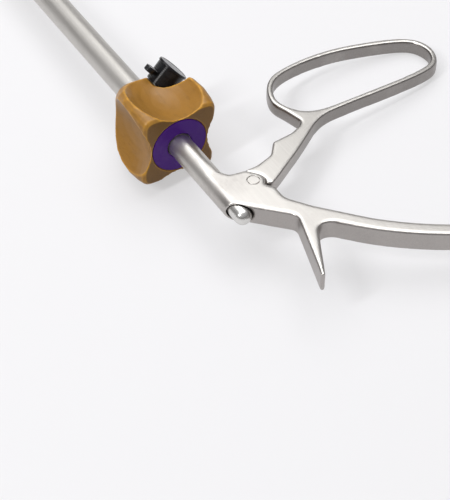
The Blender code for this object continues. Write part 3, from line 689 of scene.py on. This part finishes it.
def plate_steel():
    """Ground faces and neck, blasted walls with painted shade that darkens them round the ring, and worn edges."""
    steel = bpy.context.scene.clip_steel
    surface = Surface("Plate steel", HANDLE)
    grain = surface.group("Brushed grain", length=60.0, fineness=3000.0)
    skin = surface.group("Blasted skin", size=2600.0)
    marks = surface.group("Handling marks", amount=0.55)
    edge = surface.group("Worn edge", edge=surface.edge(), strength=0.4)
    flat = surface.facing((0, 0, 1), 0.86, 0.97)
    neck = surface.corner(PIVOT_X + 8, PIVOT_X - 4, PIVOT_Y + 8, PIVOT_Y)
    # Mask of the painted shade on the walls round the ring of the ring lever.
    ring = surface.corner(PIVOT_X + 28, PIVOT_X + 16, PIVOT_Y + 14, PIVOT_Y + 36)
    face = surface.tones(grain["Tone"], steel.face_colour, 1.01, 1.1)
    wall = surface.tones(skin["Tone"], steel.wall_colour, 0.88, 1.08)
    # Painted shade: the walls round the ring take a darker copy of the wall colour.
    wall = surface.mix(ring, wall, surface.tones(skin["Tone"], steel.wall_colour, 0.58, 0.76))
    wall = surface.mix(neck, wall, surface.tones(grain["Tone"], steel.face_colour, 0.9, 1.02))
    colour = surface.mix(flat, wall, face)
    colour = surface.mix(marks["Mask"], colour, tinted(steel.wall_colour, 1.15))
    worn = surface.product(edge["Mask"], 0.25)
    colour = surface.mix(worn, colour, tinted(steel.face_colour, 1.2))
    rough = surface.mix(flat, surface.mix(neck, 0.31, 0.4), steel.satin)
    rough = surface.mix(marks["Mask"], rough, 0.48)
    rough = surface.mix(edge["Mask"], rough, 0.22)
    relief = surface.bump(surface.mix(flat, skin["Height"], grain["Height"]), 0.012, 0.35)
    return surface.set(colour, rough, relief, metallic=1.0)


def round_steel(name, place, tone=1.0, satin=0.33, length=30.0):
    """Satin steel of turned pieces, brushed along their length."""
    surface = Surface(name, place)
    grain = surface.group("Brushed grain", length=length, fineness=2400.0)
    marks = surface.group("Handling marks", amount=0.5)
    edge = surface.group("Worn edge", edge=surface.edge(), strength=0.8)
    base = tinted(bpy.context.scene.clip_steel.face_colour, tone)
    colour = surface.tones(grain["Tone"], base, 0.9, 1.06)
    colour = surface.mix(marks["Mask"], colour, tinted(base, 0.82))
    colour = surface.mix(edge["Mask"], colour, tinted(base, 1.2))
    rough = surface.mix(grain["Tone"], satin - 0.03, satin + 0.05)
    rough = surface.mix(marks["Mask"], rough, satin + 0.14)
    return surface.set(colour, rough, surface.bump(grain["Height"], 0.01, 0.3), metallic=1.0)


def blasted_steel():
    """Bead-blasted steel of the housing and jaws."""
    surface = Surface("Blasted steel", ROTOR)
    skin = surface.group("Blasted skin", size=3600.0)
    marks = surface.group("Handling marks", amount=0.6)
    edge = surface.group("Worn edge", edge=surface.edge(), strength=1.0)
    base = tinted(bpy.context.scene.clip_steel.face_colour, 0.78)
    colour = surface.tones(skin["Tone"], base, 0.86, 1.08)
    colour = surface.mix(marks["Mask"], colour, tinted(base, 0.74))
    colour = surface.mix(edge["Mask"], colour, tinted(base, 1.4))
    rough = surface.mix(skin["Tone"], 0.27, 0.37)
    rough = surface.mix(edge["Mask"], rough, 0.2)
    return surface.set(colour, rough, surface.bump(skin["Height"], 0.02, 0.4), metallic=1.0)


def polished_steel(name):
    """Polished steel with faint wipe marks."""
    surface = Surface(name, ROTOR)
    grain = surface.group("Brushed grain", length=900.0, fineness=2500.0)
    marks = surface.group("Handling marks", amount=0.7)
    colour = surface.tones(grain["Tone"], bpy.context.scene.clip_steel.polish_colour, 0.93, 1.05)
    rough = surface.mix(marks["Mask"], 0.27, 0.4)
    return surface.set(colour, rough, surface.bump(grain["Height"], 0.003, 0.2), metallic=1.0)


def ochre_plastic():
    """Satin machined plastic with a faint mottle, a painted highlight along its rounded edges and painted shade on
    its ends.
    """
    ochre = bpy.context.scene.clip_knob.ochre
    surface = Surface("Ochre plastic", ROTOR)
    skin = surface.group("Blasted skin", size=2300.0)
    marks = surface.group("Handling marks", amount=0.5)
    tooling = surface.group("Brushed grain", length=260.0, fineness=900.0)
    cloud = spread(surface.tree, noise(surface.tree, surface.vector, 70.0, 4.0), 0.3, 0.7)
    colour = surface.mix(skin["Tone"], surface.tones(cloud, ochre, 0.88, 1.1),
                         surface.tones(cloud, ochre, 0.98, 1.16))
    lines = spread(surface.tree, tooling["Tone"], 0.1, 0.45, 0.35, 0.0)
    colour = surface.mix(lines, colour, tinted(ochre, 0.62))
    # Painted highlight: the convex ridges of the knob, read from the edge attribute, take a paler ochre.
    painted_ridge_highlight = (ochre[0] * 1.7, ochre[1] * 1.75, ochre[2] * 1.2)
    colour = surface.mix(surface.edge(), colour, painted_ridge_highlight)
    # Painted shade: the faces square to the tube, the knob's ends, take a darker ochre.
    ends = surface.product(surface.facing((1, 0, 0), 0.9, 0.99), 0.4)
    colour = surface.mix(ends, colour, tinted(ochre, 0.25))
    rough = surface.mix(marks["Mask"], 0.36, 0.5)
    relief = surface.bump(skin["Height"], 0.02, 0.35)
    return surface.set(colour, rough, relief, IOR=1.5, Specular_IOR_Level=0.42)


def violet_plastic():
    """Satin violet disc with paler handling marks."""
    surface = Surface("Violet plastic", ROTOR)
    skin = surface.group("Blasted skin", size=2600.0)
    marks = surface.group("Handling marks", amount=0.6)
    colour = surface.tones(skin["Tone"], bpy.context.scene.clip_knob.violet, 0.85, 1.2)
    colour = surface.mix(marks["Mask"], colour, (0.13, 0.045, 0.27))
    rough = surface.mix(marks["Mask"], 0.34, 0.48)
    relief = surface.bump(skin["Height"], 0.015, 0.3)
    return surface.set(colour, rough, relief, IOR=1.5, Specular_IOR_Level=0.25)


def black_rubber():
    """Black rubber with moulded rings down its side and a painted pale reflection of the overhead light on its
    top.
    """
    surface = Surface("Black rubber", PORT)
    skin = surface.group("Blasted skin", size=2800.0)
    marks = surface.group("Handling marks", amount=0.8)
    colour = surface.tones(skin["Tone"], bpy.context.scene.clip_knob.rubber, 0.8, 1.4)
    colour = surface.mix(marks["Mask"], colour, (0.05, 0.05, 0.053))
    # Painted reflection: the top face mask and the noise below lay a pale grey, standing in for the overhead
    # light's reflection, on the cap's top.
    top = surface.facing((0, 0, 1), 0.93, 0.99)
    dust = spread(surface.tree, noise(surface.tree, surface.vector, 1100.0, 3.0), 0.35, 0.65)
    painted_top_reflection = surface.mix(dust, (0.11, 0.11, 0.115), (0.3, 0.3, 0.305))
    colour = surface.mix(top, colour, painted_top_reflection)
    rough = surface.mix(top, surface.mix(marks["Mask"], 0.15, 0.28), 0.3)
    ring_pitch = 0.7 * MM
    rings = math_node(surface.tree, "SINE",
                      surface.product(surface.along("Z"), 2 * math.pi / ring_pitch))
    relief = surface.bump(rings, 0.045, 0.8, surface.bump(skin["Height"], 0.02, 0.4))
    return surface.set(colour, rough, relief, IOR=1.5, Specular_IOR_Level=0.32)


def washer_plastic():
    """Natural white slip plastic of the thrust washer."""
    surface = Surface("Washer plastic", ROTOR)
    skin = surface.group("Blasted skin", size=2600.0)
    colour = surface.mix(skin["Tone"], (0.72, 0.70, 0.64), SLOTS["washer_plastic"])
    return surface.set(colour, 0.5, surface.bump(skin["Height"], 0.015, 0.3))


def stage_ground():
    """Pale matt floor with a barely seen unevenness, which shines a little by itself."""
    studio = bpy.context.scene.clip_studio
    surface = Surface("Pale ground")
    tree = surface.tree
    cloud = spread(tree, noise(tree, surface.vector, 3.0, 2.0), 0.2, 0.8)
    path = tree.nodes.new("ShaderNodeLightPath").outputs
    seen = math_node(tree, "ADD", path["Is Camera Ray"], path["Is Glossy Ray"])
    seen = math_node(tree, "ADD", seen, path["Is Transmission Ray"], clamp=True)
    colour = surface.mix(seen, tinted(studio.ground, studio.bounce),
                         surface.tones(cloud, studio.ground, 0.99, 1.0))
    material = surface.set(colour, 0.8, Specular_IOR_Level=0.15)
    pale = tree.nodes.new("ShaderNodeEmission")
    pale.inputs["Color"].default_value = (*studio.backdrop, 1.0)
    both = tree.nodes.new("ShaderNodeMixShader")
    tree.links.new(surface.product(seen, studio.shadow_lift), both.inputs[0])
    tree.links.new(surface.shader.outputs[0], both.inputs[1])
    tree.links.new(pale.outputs[0], both.inputs[2])
    tree.links.new(both.outputs[0], tree.nodes["Material Output"].inputs["Surface"])
    return material


# Operators

class Stage(bpy.types.Operator):
    """Floor, lamps, world and camera"""

    bl_idname = "clip_applier.stage"
    bl_label = "Stage"

    def execute(self, context):
        clear_selection()
        bpy.ops.mesh.primitive_plane_add(size=FLOOR_SIZE, location=(0, 0, 0))
        floor = bpy.context.object
        floor.name = "floor"
        paint(floor, stage_ground())
        self.camera(context.scene)
        self.lamps(context.scene)
        self.world(context.scene)
        context.scene.view_settings.view_transform = "Standard"
        return {"FINISHED"}

    def camera(self, scene):
        """Camera at the photograph's angle, level with the handle plate."""
        data = bpy.data.cameras.new("camera")
        camera = bpy.data.objects.new("camera", data)
        scene.collection.objects.link(camera)
        turn = HANDLE.to_3x3()
        back = (turn @ (CAMERA_AT - CAMERA_AIM)).normalized()
        right = (turn @ Vector((0, 0, 1))).cross(back).normalized()
        place = Matrix((right, back.cross(right), back)).transposed().to_4x4()
        place.translation = HANDLE @ (CAMERA_AT * MM)
        camera.matrix_world = place
        data.sensor_fit = "VERTICAL"
        data.sensor_height = CAMERA_SENSOR
        data.sensor_width = CAMERA_SENSOR
        data.lens = CAMERA_LENS
        data.clip_start = 0.01
        scene.camera = camera

    def lamps(self, scene):
        """Soft boxes that hang level over, behind and beside the object."""
        for name, (place, size, watts) in LAMPS.items():
            data = bpy.data.lights.new(name, "AREA")
            data.shape = "RECTANGLE"
            data.size, data.size_y = size
            data.energy = watts * scene.clip_studio.lamp_power
            lamp = bpy.data.objects.new(name, data)
            scene.collection.objects.link(lamp)
            lamp.location = place

    def world(self, scene):
        """Even surroundings with a dark band over a pale horizon."""
        world = bpy.data.worlds.new("studio")
        world.use_nodes = True
        tree = world.node_tree
        coords = tree.nodes.new("ShaderNodeTexCoord")
        split = tree.nodes.new("ShaderNodeSeparateXYZ")
        tree.links.new(coords.outputs["Generated"], split.inputs[0])
        ramp = tree.nodes.new("ShaderNodeValToRGB")
        bands = ramp.color_ramp.elements
        bands.remove(bands[1])
        bands[0].color = (*HORIZON, 1.0)
        for height, colour in SKY_BANDS.items():
            bands.new(height).color = (*colour, 1.0)
        tree.links.new(split.outputs["Z"], ramp.inputs[0])
        tree.links.new(ramp.outputs["Color"], tree.nodes["Background"].inputs["Color"])
        scene.world = world


class HandleParts(bpy.types.Operator):
    """Handle plate, ring lever and pivot pin with rounded edges and ground faces"""

    bl_idname = "clip_applier.handle_parts"
    bl_label = "Handle"

    def execute(self, context):
        cell = context.scene.clip_steel.round_edge
        finish = plate_steel()
        pivot = HANDLE @ Matrix.Translation((PIVOT_X * MM, PIVOT_Y * MM, 0))
        plate = rounded("handle_body", HANDLE, cell, PLATE_PASSES, self.prepare)
        for low in (PLATE_HALF - POCKET_DEPTH, POCKET_DEPTH - POCKET_LENGTH - PLATE_HALF):
            stations = [(low, POCKET_RADIUS), (low + POCKET_LENGTH, POCKET_RADIUS)]
            carve(plate, settle(lathe("pocket", stations, SIDES), pivot))
        stand_in(plate, "handle_body", "handle", finish)
        lever = rounded("ring_lever", HANDLE, cell, RING_PASSES)
        stand_in(lever, "ring_lever", "lever", finish)
        face = PLATE_HALF - PIN_RECESS
        pin = lathe("pivot_pin_finished",
                    [(-face, PIN_NOSE), (PIN_BREAK - face, PIN_RADIUS),
                     (face - PIN_BREAK, PIN_RADIUS), (face, PIN_NOSE), (face, PIN_CENTRE)], SIDES)
        settle(pin, pivot, smooth=20)
        stand_in(pin, "pivot_pin", "handle", finish)
        return {"FINISHED"}

    def prepare(self, plate):
        """Close the pin's bores and slope the start of the flats into the round neck."""
        only(plate)
        bpy.ops.object.mode_set(mode="EDIT")
        bpy.ops.mesh.select_mode(type="VERT")
        bpy.ops.mesh.select_all(action="DESELECT")
        bpy.ops.object.mode_set(mode="OBJECT")
        pivot = Vector((PIVOT_X, PIVOT_Y))
        for vert in plate.data.vertices:
            vert.select = (vert.co.xy / MM - pivot).length < BORE_REACH
        bpy.ops.object.mode_set(mode="EDIT")
        bpy.ops.mesh.delete(type="FACE")
        bpy.ops.mesh.select_all(action="SELECT")
        bpy.ops.mesh.fill_holes(sides=0)
        bpy.ops.object.mode_set(mode="OBJECT")
        for vert in plate.data.vertices:
            spot = vert.co / MM
            if abs(spot.x - FLATS_START) < NEAR and abs(spot.z) > PLATE_HALF + NEAR:
                share = (abs(spot.z) - PLATE_HALF) / (NECK_RADIUS - PLATE_HALF)
                vert.co.x -= RUN_OUT * share * MM


class NeckParts(bpy.types.Operator):
    """Retaining ring, thrust washer and rod seal inside the knob"""

    bl_idname = "clip_applier.neck_parts"
    bl_label = "Neck"

    def execute(self, context):
        rows = (("retaining_ring", "handle", "brushed_steel", round_steel("Turned steel", HANDLE)),
                ("thrust_washer", "handle", "washer_plastic", washer_plastic()),
                ("rod_seal", "rotor", "black_rubber", black_rubber()))
        for node, body, slot, material in rows:
            stand_in(machined(node, FINE_EDGE * MM), node, body, material)
        return {"FINISHED"}


class KnobParts(bpy.types.Operator):
    """Scooped knob, violet disc and flush port"""

    bl_idname = "clip_applier.knob_parts"
    bl_label = "Knob"

    def execute(self, context):
        knob = rounded("knob", ROTOR, context.scene.clip_knob.round_edge, KNOB_PASSES)
        stand_in(knob, "knob", "rotor", ochre_plastic())
        stand_in(machined("knob_collar", COLLAR_EDGE * MM), "knob_collar", "rotor",
                 violet_plastic())
        stand_in(machined("flush_port", FINE_EDGE * MM), "flush_port", "rotor",
                 round_steel("Port steel", ROTOR))
        return {"FINISHED"}


class PortCap(bpy.types.Operator):
    """Rubber cap with its rim, dished top and round pull tab"""

    bl_idname = "clip_applier.port_cap"
    bl_label = "Port cap"

    def execute(self, context):
        sizes = context.scene.clip_cap
        skirt = sizes.diameter / MM / 2
        cap = merge(self.cup(skirt, sizes.rim / MM / 2),
                    self.tab(skirt, sizes.tab_reach / MM - TAB_RADIUS))
        stand_in(settle(cap, PORT, smooth=40), "port_cap", "cap",
                 bpy.data.materials["Black rubber"])
        return {"FINISHED"}

    def cup(self, skirt, rim):
        """Bored skirt that flares to a rolled rim round a dished top."""
        return lathe("port_cap_moulded", [
            (STUB_TOP, CAP_BORE), (CAP_FOOT + 0.1, CAP_BORE), (CAP_FOOT, CAP_BORE + 0.1),
            (CAP_FOOT, skirt - 0.35), (CAP_FOOT + 0.1, skirt - 0.1), (CAP_FOOT + 0.35, skirt),
            (CAP_TOP - 1.3, rim - 0.35), (CAP_TOP - 1.1, rim - 0.3), (CAP_TOP - 0.95, rim - 0.08),
            (CAP_TOP - 0.8, rim), (CAP_TOP - 0.4, rim), (CAP_TOP - 0.15, rim - 0.1),
            (CAP_TOP, rim - 0.35), (CAP_TOP, rim - 0.9), (CAP_TOP - 0.1, rim - 1.0),
            (CAP_TOP - 0.1, CAP_BOSS + 0.2), (CAP_TOP - 0.05, CAP_BOSS),
            (CAP_TOP - 0.05, CAP_CENTRE)], CAP_SIDES)

    def tab(self, skirt, head):
        """Round head of the pull tab, and the neck that joins it to the skirt."""
        tab = lathe("tab", [
            (TAB_FOOT, TAB_RADIUS - 0.5), (TAB_FOOT, TAB_RADIUS - 0.25),
            (TAB_FOOT + 0.1, TAB_RADIUS - 0.07), (TAB_FOOT + 0.3, TAB_RADIUS),
            (TAB_TOP - 0.3, TAB_RADIUS), (TAB_TOP - 0.1, TAB_RADIUS - 0.07),
            (TAB_TOP, TAB_RADIUS - 0.25), (TAB_TOP, TAB_RADIUS - 0.7),
            (TAB_TOP - 0.1, TAB_RADIUS - 0.9)], TAB_SIDES)
        tab.location = (0, -head * MM, 0)
        neck = block((TAB_NECK_WIDTH, head - skirt + 2 * TAB_NECK_OVERLAP, TAB_NECK_THICKNESS),
                     (0, -(head + skirt) / 2, (TAB_FOOT + TAB_TOP) / 2))
        apply_modifier(neck, "BEVEL", width=TAB_NECK_ROUND * MM, segments=4, limit_method="NONE")
        return merge(tab, neck)


class TubeAndRod(bpy.types.Operator):
    """Outer tube, drive rod, blade, domed rod end, drive pin and jaw pin"""

    bl_idname = "clip_applier.tube_and_rod"
    bl_label = "Tube and rod"

    def execute(self, context):
        tube = round_steel("Tube steel", ROTOR, 0.97, 0.44, 24.0)
        polish = polished_steel("Dome steel")
        rows = (("outer_tube", "rotor", "brushed_steel", tube),
                ("drive_rod", "rod", "brushed_steel", tube),
                ("drive_blade", "rod", "brushed_steel", tube),
                ("rod_head", "rod", "polished_steel", polish),
                ("drive_pin", "rod", "polished_steel", polish),
                ("jaw_pin", "rotor", "polished_steel", polish))
        for node, body, slot, material in rows:
            stand_in(machined(node, FINE_EDGE * MM), node, body, material)
        return {"FINISHED"}


class JawParts(bpy.types.Operator):
    """Jaw housing, jaws, slotted guide screw, threaded collar and coil"""

    bl_idname = "clip_applier.jaw_parts"
    bl_label = "Jaws"

    def execute(self, context):
        width = context.scene.clip_steel.edge_break
        blasted = blasted_steel()
        rows = (("jaw_housing", "rotor"), ("jaw_left", "left_jaw"), ("jaw_right", "right_jaw"))
        for node, body in rows:
            stand_in(machined(node, width), node, body, blasted)
        stand_in(self.guide_screw(), "guide_screw", "rotor",
                 polished_steel("Screw steel"))
        stand_in(self.thread_collar(), "thread_collar", "rotor",
                 round_steel("Thread steel", ROTOR, 0.9, 0.3, 400.0))
        coil = paint(self.coil(), polished_steel("Spring steel"))
        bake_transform(coil)
        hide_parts("jaw_spring")
        return {"FINISHED"}

    def guide_screw(self):
        """Cheese head with a slot, on its shank."""
        screw = lathe("guide_screw_finished", [
            (SHANK_FOOT, SHANK_RADIUS - 0.2), (SHANK_FOOT + 0.2, SHANK_RADIUS),
            (SCREW_SEAT, SHANK_RADIUS), (SCREW_SEAT, SCREW_RADIUS - 0.1),
            (SCREW_SEAT + 0.1, SCREW_RADIUS), (SCREW_TOP - 0.3, SCREW_RADIUS),
            (SCREW_TOP - 0.1, SCREW_RADIUS - 0.1), (SCREW_TOP, SCREW_RADIUS - 0.3)], SIDES)
        carve(screw, block((SLOT_LENGTH, SLOT_WIDTH, 2 * SLOT_DEPTH), (0, 0, SCREW_TOP)))
        return settle(screw, ROTOR @ Matrix.Translation((SCREW_X * MM, 0, 0)), smooth=30)

    def thread_collar(self):
        """Core with chamfered ends and a helical ridge."""
        shoulder = COLLAR_RADIUS - COLLAR_CHAMFER
        core = lathe("thread_collar_finished", [
            (COLLAR_START, COLLAR_END), (COLLAR_START, shoulder),
            (COLLAR_CHAMFER, COLLAR_RADIUS), (COLLAR_LENGTH - COLLAR_CHAMFER, COLLAR_RADIUS),
            (COLLAR_LENGTH, shoulder), (COLLAR_LENGTH, COLLAR_END)], SIDES)
        ridge = hoop("ridge", 3, THREAD_HEIGHT, (THREAD_RADIUS, 0, THREAD_START),
                     (math.pi / 2, 0, -math.pi / 2))
        collar = merge(core, sweep(ridge, THREAD_PITCH, THREAD_TURNS, THREAD_STEPS))
        start = Matrix.Translation((HOUSING_REAR * MM, 0, 0))
        return settle(collar, ROTOR @ start @ TURN_TO_X, smooth=30)

    def coil(self):
        """Round wire wound round the rod."""
        wire = hoop("jaw_spring_finished", WIRE_SIDES, COIL_WIRE / 2,
                    (COIL_RADIUS, 0, COIL_WIRE / 2), (math.pi / 2, 0, 0))
        sweep(wire, COIL_LENGTH / COIL_TURNS, COIL_TURNS, COIL_STEPS)
        start = Matrix.Translation(((HOUSING_REAR + COIL_FRONT) * MM, 0, 0))
        return settle(wire, ROTOR @ start @ TURN_TO_X, smooth=60)


class Sidebar(bpy.types.Panel):
    """Lists the sizes, colours and pieces of the clip applier"""

    bl_idname = "VIEW3D_PT_clip_applier"
    bl_label = "Clip Applier"
    bl_space_type = "VIEW_3D"
    bl_region_type = "UI"
    bl_category = "Clip Applier"

    def draw(self, context):
        for name, group in GROUPS.items():
            box = self.layout.box()
            for setting in group.__annotations__:
                box.prop(getattr(context.scene, name), setting)
        for operator in OPERATORS:
            self.layout.operator(operator.bl_idname)


OPERATORS = (Stage, HandleParts, NeckParts, KnobParts, PortCap, TubeAndRod, JawParts)
GROUPS = {"clip_steel": SteelFinish, "clip_knob": KnobFinish, "clip_cap": CapSizes,
          "clip_studio": StudioLight}


def register():
    """Add the settings, the operators and the panel."""
    for name, group in GROUPS.items():
        bpy.utils.register_class(group)
        setattr(bpy.types.Scene, name, bpy.props.PointerProperty(type=group))
    for entry in OPERATORS + (Sidebar,):
        bpy.utils.register_class(entry)


def unregister():
    """Take them out again."""
    for entry in (Sidebar,) + OPERATORS[::-1]:
        bpy.utils.unregister_class(entry)
    for name, group in reversed(GROUPS.items()):
        delattr(bpy.types.Scene, name)
        bpy.utils.unregister_class(group)


def main():
    """Run the operators in order."""
    register()
    for operator in OPERATORS:
        family, name = operator.bl_idname.split(".")
        getattr(getattr(bpy.ops, family), name)()


if __name__ == "__main__":
    main()
